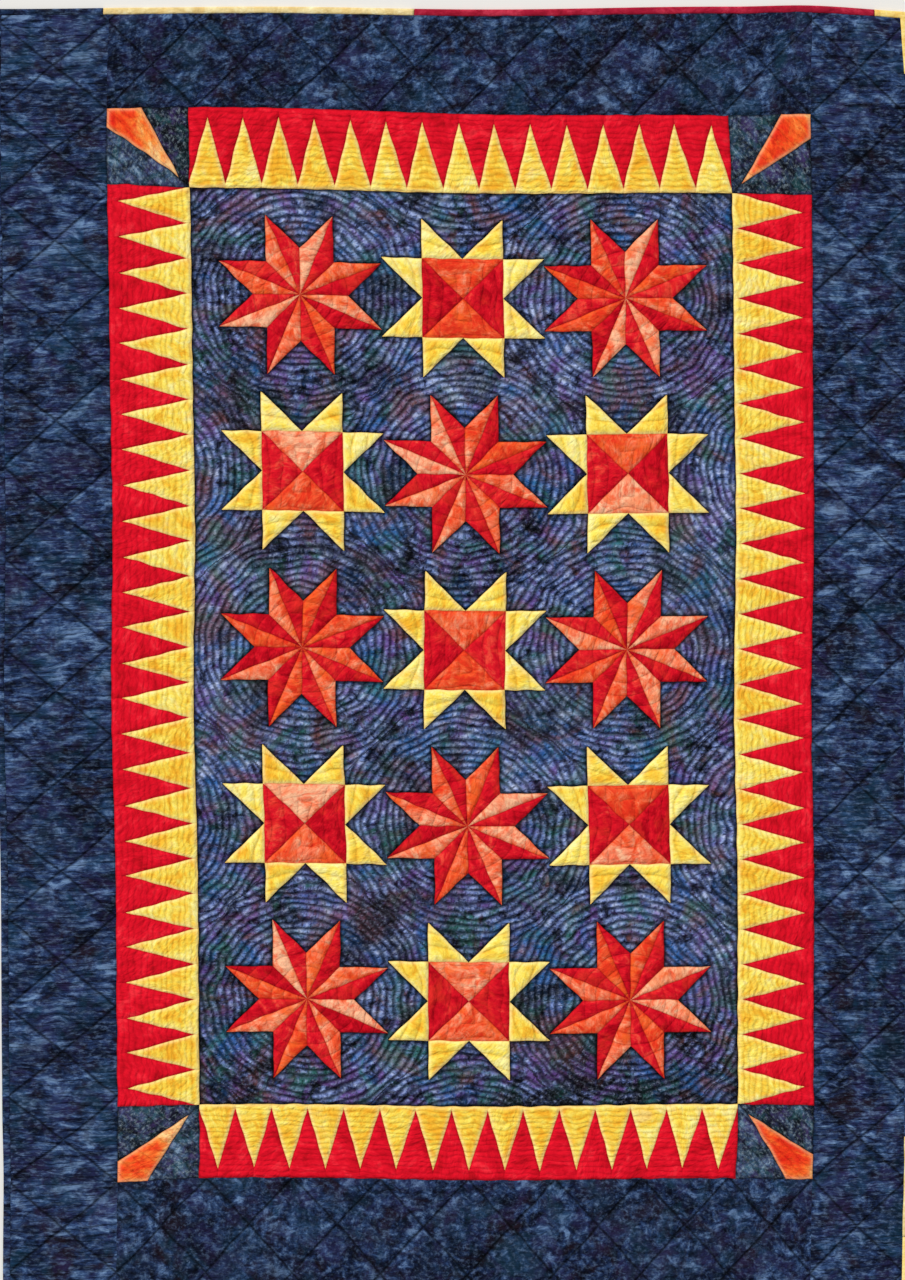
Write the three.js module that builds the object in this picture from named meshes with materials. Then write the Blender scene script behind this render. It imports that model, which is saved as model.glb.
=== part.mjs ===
// A pieced bed quilt laid out flat. Lengths are in millimetres, +X runs across the quilt, +Y up its length and
// +Z out of its face. The origin is on the surface it lies on, under the middle of its outline.
//
// Every piece is laid out first on the square plan it was cut to, with u from the left edge and v from the bottom
// edge. lieAt then moves each plan point to where the sewn, quilted and slightly pulled cloth really lies.

import * as THREE from 'three';

// Cut sizes
const SPIKE_PITCH = 50.8;
const SPIKES_ACROSS = 15;
const SPIKES_UP = 26;
const SPIKE_BORDER = 114.3;
const OUTER_BORDER = 150;
const BLOCK = 228.6;
const FIELD_MARGIN = 38.1;
const ROW_STRIP = 25.4;
const BLOCK_ROWS = 5;
const BLOCK_COLUMNS = 3;

const FIELD_WIDTH = SPIKE_PITCH * SPIKES_ACROSS;
const FIELD_LENGTH = SPIKE_PITCH * SPIKES_UP;
const WIDTH = FIELD_WIDTH + 2 * (SPIKE_BORDER + OUTER_BORDER);
const LENGTH = FIELD_LENGTH + 2 * (SPIKE_BORDER + OUTER_BORDER);

// Seam lines of the plan, outer edge, outer border seam and field seam on each side
const SEAMS_U = [
  0, OUTER_BORDER, OUTER_BORDER + SPIKE_BORDER,
  WIDTH - OUTER_BORDER - SPIKE_BORDER, WIDTH - OUTER_BORDER, WIDTH,
];
const SEAMS_V = [
  0, OUTER_BORDER, OUTER_BORDER + SPIKE_BORDER,
  LENGTH - OUTER_BORDER - SPIKE_BORDER, LENGTH - OUTER_BORDER, LENGTH,
];

// Where each seam crossing lies, one row for each seam in v from the bottom, each point [x, y]
const LIE = [
  [[-640, -917], [-478, -918], [-360, -919], [406, -920], [514, -919], [654, -916]],
  [[-641, -765], [-478, -766], [-361, -762], [406, -763], [515, -763], [655, -762]],
  [[-644, -658], [-479, -658], [-362, -657], [408, -657], [516, -657], [655, -657]],
  [[-654, 658], [-492, 661], [-374, 654], [401, 645], [515, 644], [659, 644]],
  [[-654, 769], [-492, 769], [-375, 769], [397, 756], [514, 760], [660, 760]],
  [[-656, 912], [-492, 913], [-375, 912], [399, 912], [514, 915], [648, 908]],
];

// Slow waves of the lie, each moving the cloth along one axis as it goes along the other
const DRIFTS = [
  { moves: 'x', along: 'y', size: 1.6, period: 760, start: 90 },
  { moves: 'y', along: 'x', size: 1.9, period: 640, start: 210 },
  { moves: 'x', along: 'y', size: 0.8, period: 430, start: 30 },
];

// Middle of the outline that the crossings and waves give
const MIDDLE = { x: 1.7, y: -3.17 };

// Heights of the cloth above the surface it lies on
const STITCHED = 3;
const EDGE_UNDER = 1.1;
const EDGE_TOP = 3.1;
const CREST = { field: 3.2, margin: 1.6, spikes: 2.2, corner: 2.6, outer: 3.4 };
const CREST_POWER = 2.6;
const SWELL = { size: 0.45, periodX: 420, periodY: 560 };

// Crosshatch quilting of the outer border, as the number of stitched diamonds between its inner corners, and the
// width of a diamond on the side strips
const DIAMONDS_ACROSS = 8;
const DIAMONDS_UP = 12;
const SIDE_DIAMOND = 143;
const STEPS_PER_DIAMOND = 4;

// Folded binding, as the distance in from the edge and the height of each corner of its section
const SEAM_GAP = 0.4;
const PANEL_INSET = 1.4;
const BINDING_WIDTH = 10;
const LIP_END = 10.5;
const LIP_RUN_OUT = 15;
const BINDING_SECTION = [
  [BINDING_WIDTH, 0], [1, 0], [0, 0.9], [0, 3.3], [1, 4.3], [5, 4.8],
  [BINDING_WIDTH, 4.2], [BINDING_WIDTH, 3.45], [1, 3.45], [1, 0.75], [BINDING_WIDTH, 0.75],
];
const BINDING_STEP = 36;

// Lengths of the binding, each from one place on the edge to another, counterclockwise from the bottom left corner
const SIDES = ['bottom', 'right', 'top', 'left'];
const BINDING_LENGTHS = [
  { name: 'binding_bottom_navy', from: ['bottom', 0.024], to: ['bottom', 0.958], colour: 'navy' },
  { name: 'binding_low_corner_gold', from: ['bottom', 0.958], to: ['right', 0.038], colour: 'gold' },
  { name: 'binding_right_cream', from: ['right', 0.038], to: ['right', 0.118], colour: 'cream' },
  { name: 'binding_right_navy', from: ['right', 0.118], to: ['right', 0.951], colour: 'navy' },
  { name: 'binding_top_corner_gold', from: ['right', 0.951], to: ['top', 0.040], colour: 'gold' },
  { name: 'binding_top_red', from: ['top', 0.040], to: ['top', 0.5515], colour: 'crimson' },
  { name: 'binding_top_cream', from: ['top', 0.5515], to: ['top', 0.8895], colour: 'cream' },
  { name: 'binding_top_navy', from: ['top', 0.8895], to: ['left', 0.018], colour: 'navy' },
  { name: 'binding_left_navy', from: ['left', 0.018], to: ['bottom', 0.024], colour: 'navy' },
];

const COLOURS = {
  navy: 0x1f2d4d,
  ground: 0x2b3552,
  gold: 0xe8b32c,
  cream: 0xd9b98a,
  crimson: 0xb3122a,
  orange: 0xe0532a,
};

function cloth(colour) {
  return new THREE.MeshStandardMaterial({ color: COLOURS[colour], roughness: 0.9, metalness: 0 });
}

// The cell of a rising list of seams that holds a place, and how far along that cell the place is
function cellOf(seams, place) {
  let cell = 0;
  while (cell < seams.length - 2 && place > seams[cell + 1]) cell += 1;
  return [cell, (place - seams[cell]) / (seams[cell + 1] - seams[cell])];
}

// A smooth curve through values that stand at rising knots
function curveThrough(knots, values, place) {
  const [cell, share] = cellOf(knots, place);
  const slope = (knot) => {
    const [before, after] = [Math.max(knot - 1, 0), Math.min(knot + 1, knots.length - 1)];
    return (values[after] - values[before]) / (knots[after] - knots[before]);
  };
  const width = knots[cell + 1] - knots[cell];
  const [from, to] = [values[cell], values[cell + 1]];
  const rest = 1 - share;
  return (1 + 2 * share) * rest ** 2 * from + share * rest ** 2 * width * slope(cell)
    + (1 + 2 * rest) * share ** 2 * to - rest * share ** 2 * width * slope(cell + 1);
}

function lieAt(u, v) {
  const [x, y] = [0, 1].map((axis) => {
    const crossings = LIE.map((row) => curveThrough(SEAMS_U, row.map((point) => point[axis]), u));
    return curveThrough(SEAMS_V, crossings, v);
  });
  const lie = { x, y };
  const drifted = { x, y };
  for (const { moves, along, size, period, start } of DRIFTS) {
    drifted[moves] += size * Math.sin((2 * Math.PI * (lie[along] - start)) / period);
  }
  return { x: drifted.x - MIDDLE.x, y: drifted.y - MIDDLE.y };
}

// Soft rise between two stitched lines: 0 on each line and 1 half way
function puff(place, from, to) {
  const middle = (from + to) / 2;
  return 1 - Math.abs((place - middle) / (to - middle)) ** CREST_POWER;
}

function swell(u, v) {
  const wave = Math.sin((2 * Math.PI * u) / SWELL.periodX) * Math.cos((2 * Math.PI * v) / SWELL.periodY);
  return SWELL.size * (1 + wave);
}

// Evenly spaced places from one value to another, both ends included
function places(from, to, steps) {
  return Array.from({ length: steps + 1 }, (_, i) => from + ((to - from) * i) / steps);
}

function edgeDistance(u, v) {
  return Math.min(u, WIDTH - u, v, LENGTH - v);
}

// The cloth is pressed to the binding's slot along the outer edge, and lifted there by the lip below it
function underside(u, v) {
  return edgeDistance(u, v) < LIP_END + SEAM_GAP ? EDGE_UNDER : 0;
}

// One closed piece over a grid of plan places. crest gives the height of its face above the stitched thickness,
// and crossAt says which of the two ways a grid cell is split, so that stitched lines lie on edges of the mesh.
function panel(name, colour, us, vs, crest, crossAt = () => false) {
  const columns = us.length;
  const rows = vs.length;
  const positions = [];
  const inset = (list, i) => list[i] + (i === 0 ? SEAM_GAP / 2 : i === list.length - 1 ? -SEAM_GAP / 2 : 0);
  for (const face of ['under', 'top']) {
    for (let j = 0; j < rows; j += 1) {
      for (let i = 0; i < columns; i += 1) {
        const [u, v] = [us[i], vs[j]];
        const { x, y } = lieAt(inset(us, i), inset(vs, j));
        const pressed = edgeDistance(u, v) < LIP_END + SEAM_GAP;
        const top = pressed ? EDGE_TOP : STITCHED + crest(u, v) + swell(u, v);
        positions.push(x, y, face === 'under' ? underside(u, v) : top);
      }
    }
  }
  const triangles = [];
  const under = (i, j) => j * columns + i;
  const above = (i, j) => rows * columns + under(i, j);
  for (let j = 0; j < rows - 1; j += 1) {
    for (let i = 0; i < columns - 1; i += 1) {
      const ring = [[i, j], [i + 1, j], [i + 1, j + 1], [i, j + 1]];
      const [a, b, c, d] = ring.map(([p, q]) => above(p, q));
      const [e, f, g, h] = ring.map(([p, q]) => under(p, q));
      if (crossAt(i, j)) triangles.push(a, b, d, b, c, d);
      else triangles.push(a, b, c, a, c, d);
      triangles.push(e, g, f, e, h, g);
    }
  }
  const rim = [
    ...us.slice(1).map((_, i) => [i, 0]),
    ...vs.slice(1).map((_, j) => [columns - 1, j]),
    ...us.slice(1).map((_, i) => [columns - 1 - i, rows - 1]),
    ...vs.slice(1).map((_, j) => [0, rows - 1 - j]),
  ];
  rim.forEach(([i, j], n) => {
    const [p, q] = rim[(n + 1) % rim.length];
    triangles.push(under(i, j), under(p, q), above(p, q), under(i, j), above(p, q), above(i, j));
  });
  return solid(name, colour, positions, triangles);
}

function solid(name, colour, positions, triangles) {
  const geometry = new THREE.BufferGeometry();
  geometry.setAttribute('position', new THREE.Float32BufferAttribute(positions, 3));
  geometry.setIndex(triangles);
  geometry.computeVertexNormals();
  const mesh = new THREE.Mesh(geometry, cloth(colour));
  mesh.name = name;
  return mesh;
}

// Field: blocks, row strips and margins each puff up between their seams
const NARROW = FIELD_MARGIN;
const FIELD_SEAMS_U = seamsFrom(SEAMS_U[2], [FIELD_MARGIN, ...Array(BLOCK_COLUMNS).fill(BLOCK), FIELD_MARGIN]);
const FIELD_SEAMS_V = seamsFrom(SEAMS_V[2], [
  FIELD_MARGIN,
  ...Array(BLOCK_ROWS).fill([ROW_STRIP, BLOCK]).flat().slice(1),
  FIELD_MARGIN,
]);

function seamsFrom(start, widths) {
  return widths.reduce((seams, width) => [...seams, seams.at(-1) + width], [start]);
}

function fieldCrest(u, v) {
  const [column, across] = cellOf(FIELD_SEAMS_U, u);
  const [row, up] = cellOf(FIELD_SEAMS_V, v);
  const narrow = FIELD_SEAMS_U[column + 1] - FIELD_SEAMS_U[column] < NARROW + 1
    || FIELD_SEAMS_V[row + 1] - FIELD_SEAMS_V[row] < NARROW + 1;
  return (narrow ? CREST.margin : CREST.field) * puff(across, 0, 1) * puff(up, 0, 1);
}

function stepsBetween(seams) {
  const cells = seams.slice(1).map((seam, i) => places(seams[i], seam, seam - seams[i] > NARROW + 1 ? 4 : 2));
  return [seams[0], ...cells.flatMap((cell) => cell.slice(1))];
}

const field = panel(
  'field_panel', 'ground', stepsBetween(FIELD_SEAMS_U), stepsBetween(FIELD_SEAMS_V), fieldCrest,
);

// Spike border: four strips and four square blocks at their ends
function stripPlaces(from) {
  return [0, 0.12, 0.5, 0.88, 1].map((share) => from + share * SPIKE_BORDER);
}

function spikeStrip(name, us, vs) {
  const [left, right] = [us[0], us.at(-1)];
  const [bottom, top] = [vs[0], vs.at(-1)];
  const crest = (u, v) => {
    const across = right - left < top - bottom ? puff(u, left, right) : puff(v, bottom, top);
    const ends = u > left && u < right && v > bottom && v < top;
    return ends ? CREST.spikes * across : 0;
  };
  return panel(name, 'crimson', us, vs, crest);
}

const alongU = places(SEAMS_U[2], SEAMS_U[3], SPIKES_ACROSS);
const alongV = places(SEAMS_V[2], SEAMS_V[3], SPIKES_UP);
const spikeBorder = [
  spikeStrip('spike_border_bottom', alongU, stripPlaces(SEAMS_V[1])),
  spikeStrip('spike_border_top', alongU, stripPlaces(SEAMS_V[3])),
  spikeStrip('spike_border_left', stripPlaces(SEAMS_U[1]), alongV),
  spikeStrip('spike_border_right', stripPlaces(SEAMS_U[3]), alongV),
];

function cornerBlock(name, left, bottom) {
  const us = places(left, left + SPIKE_BORDER, 4);
  const vs = places(bottom, bottom + SPIKE_BORDER, 4);
  const crest = (u, v) => CREST.corner * puff(u, left, us.at(-1)) * puff(v, bottom, vs.at(-1));
  return panel(name, 'ground', us, vs, crest);
}

const cornerBlocks = [
  cornerBlock('corner_block_bottom_left', SEAMS_U[1], SEAMS_V[1]),
  cornerBlock('corner_block_bottom_right', SEAMS_U[3], SEAMS_V[1]),
  cornerBlock('corner_block_top_left', SEAMS_U[1], SEAMS_V[3]),
  cornerBlock('corner_block_top_right', SEAMS_U[3], SEAMS_V[3]),
];

// Outer border: slanting stitched lines leave the inner corners and cross into puffed diamonds
const HATCH_U = (WIDTH - 2 * OUTER_BORDER) / DIAMONDS_ACROSS;
const HATCH_V = (LENGTH - 2 * OUTER_BORDER) / DIAMONDS_UP;

// Both families of stitched lines as a count of lines passed, so that whole numbers are on a line
function hatchLines(u, v) {
  const between = Math.min(Math.max(u, SEAMS_U[1]), SEAMS_U[4]);
  const across = (between - SEAMS_U[1]) / HATCH_U + (u - between) / SIDE_DIAMOND;
  const up = (v - SEAMS_V[1]) / HATCH_V;
  return [across + up, across - up];
}

function hatchCrest(u, v) {
  return hatchLines(u, v).reduce((height, line) => height * puff(line - Math.floor(line), 0, 1), CREST.outer);
}

function onInnerSeam(u, v) {
  const besideStrips = u >= SEAMS_U[1] && u <= SEAMS_U[4];
  return [SEAMS_U[1], SEAMS_U[4]].includes(u) || (besideStrips && [SEAMS_V[1], SEAMS_V[4]].includes(v));
}

function hatchPlaces(from, to, start, hatch, pressedEnds) {
  const step = hatch / STEPS_PER_DIAMOND;
  const first = Math.ceil((from - start) / step + 0.3);
  const last = Math.floor((to - start) / step - 0.3);
  const inner = Array.from({ length: last - first + 1 }, (_, i) => start + (first + i) * step);
  const low = pressedEnds.includes('low') ? [from + PANEL_INSET, from + LIP_END, from + LIP_RUN_OUT] : [from];
  const high = pressedEnds.includes('high') ? [to - LIP_RUN_OUT, to - LIP_END, to - PANEL_INSET] : [to];
  return [...low, ...inner.filter((place) => place > low.at(-1) + 4 && place < high[0] - 4), ...high];
}

function outerStrip(name, [left, right], [bottom, top], pressedU, pressedV) {
  const diamond = pressedU.length > 0 ? SIDE_DIAMOND : HATCH_U;
  const us = hatchPlaces(left, right, pressedU.includes('high') ? left : right, diamond, pressedU);
  const vs = hatchPlaces(bottom, top, SEAMS_V[1], HATCH_V, pressedV);
  const fallingLine = (i, j) => {
    const middle = hatchLines((us[i] + us[i + 1]) / 2, (vs[j] + vs[j + 1]) / 2);
    const [falling, rising] = middle.map((line) => Math.abs(line - Math.round(line)));
    return falling < rising;
  };
  const crest = (u, v) => (onInnerSeam(u, v) ? 0 : hatchCrest(u, v));
  return panel(name, 'navy', us, vs, crest, fallingLine);
}

const outerBorder = [
  outerStrip('outer_border_left', [SEAMS_U[0], SEAMS_U[1]], [SEAMS_V[0], SEAMS_V[5]], ['low'], ['low', 'high']),
  outerStrip('outer_border_right', [SEAMS_U[4], SEAMS_U[5]], [SEAMS_V[0], SEAMS_V[5]], ['high'], ['low', 'high']),
  outerStrip('outer_border_bottom', [SEAMS_U[1], SEAMS_U[4]], [SEAMS_V[0], SEAMS_V[1]], [], ['low']),
  outerStrip('outer_border_top', [SEAMS_U[1], SEAMS_U[4]], [SEAMS_V[4], SEAMS_V[5]], [], ['high']),
];

// Binding: the folded section is carried along the edge, mitred where it turns a corner
function sideLength(side) {
  return side % 2 === 0 ? WIDTH : LENGTH;
}

function edgeStation(side, share) {
  return { side, place: share * sideLength(side), corner: share === 0 };
}

// The plan point at a distance in from the edge, at a station that runs counterclockwise round the quilt
function edgePoint({ side, place, corner }, inward) {
  const along = corner ? inward : place;
  return [
    [along, inward],
    [WIDTH - inward, along],
    [WIDTH - along, LENGTH - inward],
    [inward, LENGTH - along],
  ][side];
}

function stationsBetween(from, to) {
  const [fromSide, toSide] = [SIDES.indexOf(from[0]), SIDES.indexOf(to[0])];
  const half = SEAM_GAP / 2;
  const start = { side: fromSide, place: from[1] * sideLength(fromSide) + half };
  const end = { side: toSide, place: to[1] * sideLength(toSide) - half };
  const run = (side, low, high) => {
    const steps = Math.max(1, Math.round((high - low) / BINDING_STEP));
    return places(low, high, steps).map((place) => ({ side, place }));
  };
  if (fromSide === toSide) return run(fromSide, start.place, end.place);
  const corner = edgeStation(toSide, 0);
  const before = run(fromSide, start.place, sideLength(fromSide)).slice(0, -1);
  return [...before, corner, ...run(toSide, 0, end.place).slice(1)];
}

function bindingLength({ name, from, to, colour }) {
  const stations = stationsBetween(from, to);
  const count = BINDING_SECTION.length;
  const positions = [];
  for (const station of stations) {
    for (const [inward, height] of BINDING_SECTION) {
      const { x, y } = lieAt(...edgePoint(station, inward));
      positions.push(x, y, height);
    }
  }
  const triangles = [];
  for (let s = 0; s < stations.length - 1; s += 1) {
    for (let p = 0; p < count; p += 1) {
      const q = (p + 1) % count;
      const [a, b] = [s * count + p, s * count + q];
      triangles.push(a, a + count, b, b, a + count, b + count);
    }
  }
  const outline = BINDING_SECTION.map(([inward, height]) => new THREE.Vector2(inward, height));
  const lastRing = (stations.length - 1) * count;
  for (const [a, b, c] of THREE.ShapeUtils.triangulateShape(outline, [])) {
    triangles.push(a, c, b, lastRing + a, lastRing + b, lastRing + c);
  }
  return solid(name, colour, positions, triangles);
}

const binding = BINDING_LENGTHS.map(bindingLength);

const quilt = new THREE.Group();
quilt.add(field, ...spikeBorder, ...cornerBlocks, ...outerBorder, ...binding);

export default quilt;
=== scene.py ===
# A pieced and quilted bed quilt, laid out flat and seen from straight above.
# Patches are cut on the flat plan (u across, v up, in metres), then puffed up and moved to where the cloth lies.

import math
import random

import bmesh
import bpy
import numpy as np
from mathutils import Matrix, Vector


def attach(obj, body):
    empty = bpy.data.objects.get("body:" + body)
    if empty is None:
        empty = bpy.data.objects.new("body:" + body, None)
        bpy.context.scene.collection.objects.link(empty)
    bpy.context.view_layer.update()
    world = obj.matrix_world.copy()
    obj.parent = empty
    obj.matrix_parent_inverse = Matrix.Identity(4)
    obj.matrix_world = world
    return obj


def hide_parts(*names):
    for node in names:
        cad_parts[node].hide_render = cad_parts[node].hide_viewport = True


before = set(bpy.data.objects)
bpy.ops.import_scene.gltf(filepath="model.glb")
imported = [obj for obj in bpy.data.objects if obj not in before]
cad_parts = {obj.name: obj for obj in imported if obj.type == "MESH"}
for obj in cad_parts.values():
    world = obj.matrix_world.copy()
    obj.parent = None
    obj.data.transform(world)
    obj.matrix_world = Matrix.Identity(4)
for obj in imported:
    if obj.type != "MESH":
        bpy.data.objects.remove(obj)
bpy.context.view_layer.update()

print("frame loaded")
dice = random.Random(7)

# The plan

plan = {
    "spikePitch": 0.0508, "spikesAcross": 15, "spikesUp": 26,
    "spikeBorder": 0.1143, "outerBorder": 0.150,
    "block": 0.2286, "fieldMargin": 0.0381, "rowStrip": 0.0254,
    "blockColumns": 3, "blockRows": 5,
}
fieldWidth = plan["spikePitch"] * plan["spikesAcross"]
fieldLength = plan["spikePitch"] * plan["spikesUp"]
borders = plan["spikeBorder"] + plan["outerBorder"]
quiltWidth = fieldWidth + 2 * borders
quiltLength = fieldLength + 2 * borders


def seamPlaces(total):
    edges = [0, plan["outerBorder"], borders]
    return np.array(edges + [total - edge for edge in reversed(edges)])


seamsU = seamPlaces(quiltWidth)
seamsV = seamPlaces(quiltLength)

# Where each crossing of two seams lies, in millimetres, one row for each seam from the bottom edge up
lie = np.array([
    [[-640, -917], [-478, -918], [-360, -919], [406, -920], [514, -919], [654, -916]],
    [[-641, -765], [-478, -766], [-361, -762], [406, -763], [515, -763], [655, -762]],
    [[-644, -658], [-479, -658], [-362, -657], [408, -657], [516, -657], [655, -657]],
    [[-654, 658], [-492, 661], [-374, 654], [401, 645], [515, 644], [659, 644]],
    [[-654, 769], [-492, 769], [-375, 769], [397, 756], [514, 760], [660, 760]],
    [[-656, 912], [-492, 913], [-375, 912], [399, 912], [514, 915], [648, 908]],
]) * 0.001
drifts = [
    {"moves": 0, "along": 1, "size": 0.0016, "period": 0.760, "start": 0.090},
    {"moves": 1, "along": 0, "size": 0.0019, "period": 0.640, "start": 0.210},
    {"moves": 0, "along": 1, "size": 0.0008, "period": 0.430, "start": 0.030},
]

outlineMiddle = (0.0017, -0.00317)  # of the outline that the crossings and waves give
tremble = {"size": 0.0006, "length": 0.042, "edge": 0.03}  # the quilting pulls seams out of line, not the edge


def curveThrough(knots, values, place):
    # values holds one row for each knot and one column for each place
    column = np.arange(len(place))
    cell = np.clip(np.searchsorted(knots, place) - 1, 0, len(knots) - 2)
    width = knots[cell + 1] - knots[cell]
    share = (place - knots[cell]) / width
    rest = 1 - share

    def slope(knot):
        before, after = np.maximum(knot - 1, 0), np.minimum(knot + 1, len(knots) - 1)
        return (values[after, column] - values[before, column]) / (knots[after] - knots[before])

    return ((1 + 2 * share) * rest ** 2 * values[cell, column] + share * rest ** 2 * width * slope(cell)
            + (1 + 2 * rest) * share ** 2 * values[cell + 1, column] - rest * share ** 2 * width * slope(cell + 1))


def edgeDistance(u, v):
    return np.minimum(np.minimum(u, quiltWidth - u), np.minimum(v, quiltLength - v))


def lieAt(u, v):
    laid = []
    for axis in (0, 1):
        crossings = np.stack([curveThrough(seamsU, np.repeat(row[:, axis:axis + 1], len(u), 1), u) for row in lie])
        laid.append(curveThrough(seamsV, crossings, v))
    pull = tremble["size"] * np.clip(edgeDistance(u, v) / tremble["edge"], 0, 1)
    moved = [place + pull * ripple(u, v, tremble["length"], seed) for place, seed in zip(laid, (51, 52))]
    for drift in drifts:
        wave = np.sin(2 * math.pi * (laid[drift["along"]] - drift["start"]) / drift["period"])
        moved[drift["moves"]] += drift["size"] * wave
    return moved[0] - outlineMiddle[0], moved[1] - outlineMiddle[1]


def ripple(u, v, size, seed):
    # smooth unevenness of about the given size across, from -1 to 1
    chance = random.Random(seed)
    total = np.zeros_like(u)
    for octave in range(6):
        turn = chance.uniform(0, 2 * math.pi)
        pace = 2 * math.pi / (size * chance.uniform(0.7, 1.5))
        total += np.sin(pace * (u * math.cos(turn) + v * math.sin(turn)) + chance.uniform(0, 6.28))
    return total / 3.2


# Cloth heights

cloths = {  # how far a patch of each cloth puffs up, how steeply, its grid step and how shallow its quilting is
    "ground": {"rise": 0.0031, "reach": 0.0046, "step": 0.0022, "shallow": 0.0},
    "star": {"rise": 0.0036, "reach": 0.0048, "step": 0.0026, "shallow": 0.0012},
    "spike": {"rise": 0.0030, "reach": 0.0050, "step": 0.0028, "shallow": 0.0019},
    "corner": {"rise": 0.0030, "reach": 0.0060, "step": 0.0028, "shallow": 0.0008},
    "outer": {"rise": 0.0040, "reach": 0.0120, "step": 0.0032, "shallow": 0.0},
}
batting = {"stitched": 0.0030, "pressed": 0.0031, "lump": 0.00018, "lumpLength": 0.013}  # heights and small lumps
bindingWidth = 0.010
underFold = {"bound": 0.0004, "pressed": 0.0005}  # how far past the binding the cloth is held down and pressed flat
tiny = 0.0001  # keeps a distance of nothing out of a division

fieldStart = np.array([seamsU[2], seamsV[2]])
blockPitch = np.array([plan["block"], plan["block"] + plan["rowStrip"]])
firstCentre = fieldStart + plan["fieldMargin"] + plan["block"] / 2
halfwayUp = firstCentre[1] + 1.5 * blockPitch[1]

swells = {"size": 0.00045, "across": 0.420, "up": 0.560}  # the gentle rise and fall of the whole quilt
arcs = {  # the short lines of the bricks are kept shallow and faint by counting them as further away
    "pitch": 0.0104, "brick": 0.0124, "stagger": 0.31, "staggerPace": 2.4, "waver": 0.0028,
    "waverLengths": (0.045, 0.052), "shallow": 0.0014, "faint": 0.0019,
}
rows = {  # lines that run one way only: how far apart they are, how far they wander and over what length
    "star": {"pitch": 0.0192, "waver": 0.0004, "length": 0.040},
    "spike": {"pitch": 0.0088, "waver": 0.0026, "length": 0.030},
    "corner": {"pitch": 0.0210, "waver": 0.0020, "length": 0.050},
}
hatch = {  # sizes of the diamonds, eight by twelve between the inner corners and wider on the side strips
    "across": (quiltWidth - 2 * plan["outerBorder"]) / 8,
    "up": (quiltLength - 2 * plan["outerBorder"]) / 12,
    "side": 0.143, "pitch": 0.091, "waver": 0.0011, "waverLengths": (0.110, 0.130),
}
pucker = {  # height and width of the wrinkles, how they sway, and how patchy they are
    "size": 0.0009, "width": 0.0185, "sway": 0.010, "swayLength": 0.090, "shift": 2.2, "shiftLength": 0.075,
    "patch": 0.070, "patchMiddle": 0.5, "patchRange": 0.8, "patchAcross": 0.6, "patchAlong": 1.3, "least": 0.15,
}


def swell(u, v):
    return swells["size"] * (
        1 + np.sin(2 * math.pi * u / swells["across"]) * np.cos(2 * math.pi * v / swells["up"]))


def softLeast(*gaps):
    return sum((np.abs(gap) + tiny) ** -3.0 for gap in gaps) ** (-1 / 3)


def toLine(count):
    # how far a count of lines is from the nearest whole one
    return 0.5 - np.abs(count - np.floor(count) - 0.5)


def fromStar(u, v):
    # offset from the nearest split star, drawn freehand; they fill every other block like a chessboard
    u = u + arcs["waver"] * ripple(u, v, arcs["waverLengths"][0], 3)
    v = v + arcs["waver"] * ripple(u, v, arcs["waverLengths"][1], 4)
    offsets = []
    for shift in (0, 0.5):
        across = (u - firstCentre[0]) / (2 * blockPitch[0]) - shift
        up = (v - firstCentre[1]) / (2 * blockPitch[1]) - shift
        offsets.append(((across - np.round(across)) * 2 * blockPitch[0], (up - np.round(up)) * 2 * blockPitch[1]))
    (du, dv), (otherU, otherV) = offsets
    nearer = np.hypot(otherU, otherV) < np.hypot(du, dv)
    return np.where(nearer, otherU, du), np.where(nearer, otherV, dv)


def arcQuilting(u, v):
    # rings of stitching round every other star, with short lines across that turn them into rows of bricks
    du, dv = fromStar(u, v)
    ring = np.hypot(du, dv) / arcs["pitch"]
    row = np.floor(ring)
    turn = np.arctan2(dv, du) * (row + 0.5) * arcs["pitch"] / arcs["brick"]
    brick = turn + 0.5 * row + arcs["stagger"] * np.sin(arcs["staggerPace"] * row)
    gap = softLeast(toLine(ring) * arcs["pitch"], toLine(brick) * arcs["brick"] + arcs["shallow"])
    return (du, dv, np.zeros_like(u)), gap


def straightQuilting(first, second, pitch):
    # counts of lines in two directions, and how far apart the lines are
    return (first, second, np.full_like(first, pitch)), softLeast(toLine(first) * pitch, toLine(second) * pitch)


def wander(kind, u, v, seed):
    return rows[kind]["waver"] * ripple(u, v, rows[kind]["length"], seed)


def evenRows(kind, distance, start=0.0):
    pitch = rows[kind]["pitch"]
    return straightQuilting(distance / pitch + start, np.full_like(distance, 0.5), pitch)


def starQuilting(u, v):
    # echo lines far apart in the bright patches
    return evenRows("star", np.hypot(*fromStar(u + wander("star", u, v, 5), v)), 0.5)


def spikeQuilting(u, v):
    # wavy lines that run along the border
    edge = np.minimum(np.minimum(u - seamsU[1], seamsU[4] - u), np.minimum(v - seamsV[1], seamsV[4] - v))
    return evenRows("spike", edge + wander("spike", u, v, 8))


def cornerQuilting(u, v):
    return evenRows("corner", u + v + wander("corner", u, v, 9))


def hatchQuilting(u, v):
    # slanting lines that leave the inner corners of the border
    u = u + hatch["waver"] * ripple(u, v, hatch["waverLengths"][0], 11)
    v = v + hatch["waver"] * ripple(u, v, hatch["waverLengths"][1], 12)
    between = np.clip(u, seamsU[1], seamsU[4])
    across = (between - seamsU[1]) / hatch["across"] + (u - between) / hatch["side"]
    up = (v - seamsV[1]) / hatch["up"]
    return straightQuilting(across + up, across - up, hatch["pitch"])


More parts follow.
